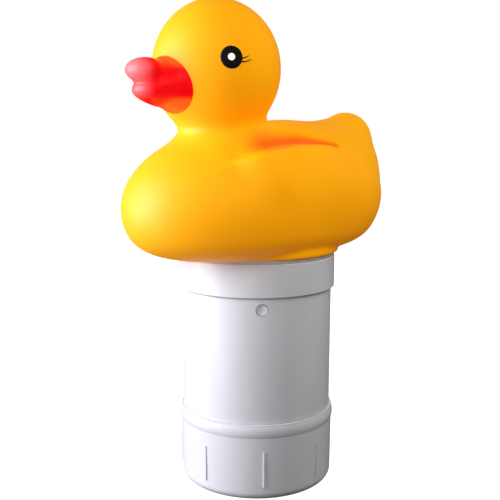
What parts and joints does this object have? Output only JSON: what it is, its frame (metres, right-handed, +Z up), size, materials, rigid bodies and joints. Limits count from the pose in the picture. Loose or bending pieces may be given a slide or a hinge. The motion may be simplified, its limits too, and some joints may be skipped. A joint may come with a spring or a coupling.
{
  "type": "floating pool chlorine dispenser",
  "caption": "Duck-shaped float that carries a quick-release canister of sanitiser tablets, with a turning cup below that opens or closes the dosing windows.",
  "frame": {"origin": "centre of the flat ring under the dosing cup, on which the part stands", "axes": "+Z up along the canister's axis, -Y the way the duck faces, +X the duck's left"},
  "size_m": [0.1156, 0.1766, 0.2847],
  "materials": {
    "yellow_vinyl": "soft satin vinyl",
    "red_vinyl": "glossy paint over vinyl",
    "black_paint": "satin printed ink",
    "white_paint": "satin printed ink",
    "white_plastic": "moulded, light sheen",
    "pale_rubber": "matte",
    "grey_rubber": "matte",
    "steel": "plain stainless",
    "tablet_chalk": "chalky pressed powder"
  },
  "bodies": {
    "float": {"duck_shell": "yellow_vinyl", "beak": "red_vinyl", "eye_discs": "black_paint", "eye_pupils": "white_paint", "eyelashes": "black_paint", "float_base": "white_plastic", "base_gasket": "grey_rubber", "clamp_ring": "white_plastic", "base_screws": "steel", "lock_tongue": "white_plastic"},
    "button": {"lock_button": "white_plastic"},
    "seal": {"rim_seal": "pale_rubber"},
    "canister": {"canister_tube": "white_plastic", "pivot_screw": "steel", "pivot_washer": "steel"},
    "cup": {"dosing_cup": "white_plastic"},
    "tablets": {"tablet_bottom": "tablet_chalk", "tablet_lower": "tablet_chalk", "tablet_upper": "tablet_chalk", "tablet_top": "tablet_chalk"}
  },
  "joints": [
    {"name": "canister_descend", "type": "slide", "parent": "float", "child": "seal", "axis": [0, 0, -1], "range_m": [0, 0.006]},
    {"name": "canister_twist", "type": "hinge", "parent": "seal", "child": "canister", "pos_m": [0, 0, 0.1], "axis": [0, 0, -1], "range_deg": [0, 90], "deforming": ["lock_button"]},
    {"name": "cup_turn", "type": "hinge", "parent": "canister", "child": "cup", "pos_m": [0, 0, 0.004], "axis": [0, 0, 1], "range_deg": [0, 30]},
    {"name": "tablets_lift", "type": "slide", "parent": "canister", "child": "tablets", "axis": [0, 0, 1], "range_m": [0, 0.02]},
    {"name": "lock_press", "type": "slide", "parent": "float", "child": "button", "axis": [-0.809, 0.5878, 0], "range_m": [0, 0.0018], "deforming": ["lock_tongue"]}
  ],
  "couplings": [
    {"joint": "canister_descend", "follows": "canister_twist", "m_per_rad": 0.0038197}
  ]
}
